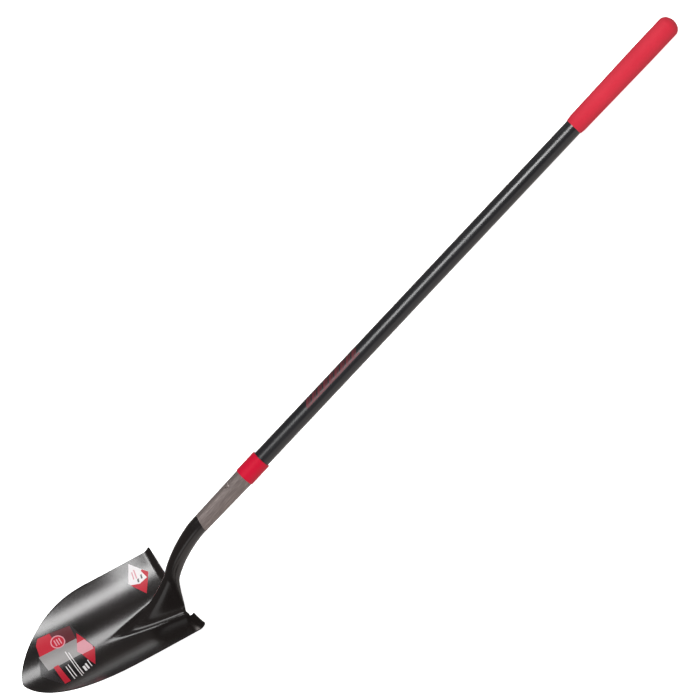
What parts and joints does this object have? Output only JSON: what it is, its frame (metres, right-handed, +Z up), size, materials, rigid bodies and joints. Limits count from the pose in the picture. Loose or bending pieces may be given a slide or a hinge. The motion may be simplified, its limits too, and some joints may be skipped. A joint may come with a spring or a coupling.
{
  "type": "round point shovel",
  "caption": "Long-handled round point shovel with a dished steel blade, turned steps, raised frog and socket, fibreglass shaft, collar and end grip.",
  "frame": {"origin": "middle of the footprint, on the level surface that the shovel lies on, face up", "axes": "+X from the blade's point to the grip, +Y to the left shoulder, +Z up out of the blade's hollow face"},
  "size_m": [1.5289, 0.227, 0.142],
  "materials": {
    "blade_steel": "black lacquer over steel, glossy, with a bare brushed band on the socket",
    "fibreglass": "black pultruded fibreglass, semi-gloss",
    "core_wood": "plain turned hardwood",
    "plug_plastic": "plain moulded",
    "red_collar": "smooth moulded",
    "red_grip": "soft matte moulded",
    "rivet_steel": "plain zinc-plated",
    "label_film": "glossy printed film",
    "print_film": "dull printed band"
  },
  "bodies": {
    "root": {"blade_and_socket": "blade_steel", "handle_tube": "fibreglass", "core_plug": "core_wood", "end_plug": "plug_plastic", "collar": "red_collar", "end_grip": "red_grip", "socket_rivet": "rivet_steel", "blade_label": "label_film", "shoulder_label": "label_film", "shaft_label": "print_film"}
  },
  "joints": []
}
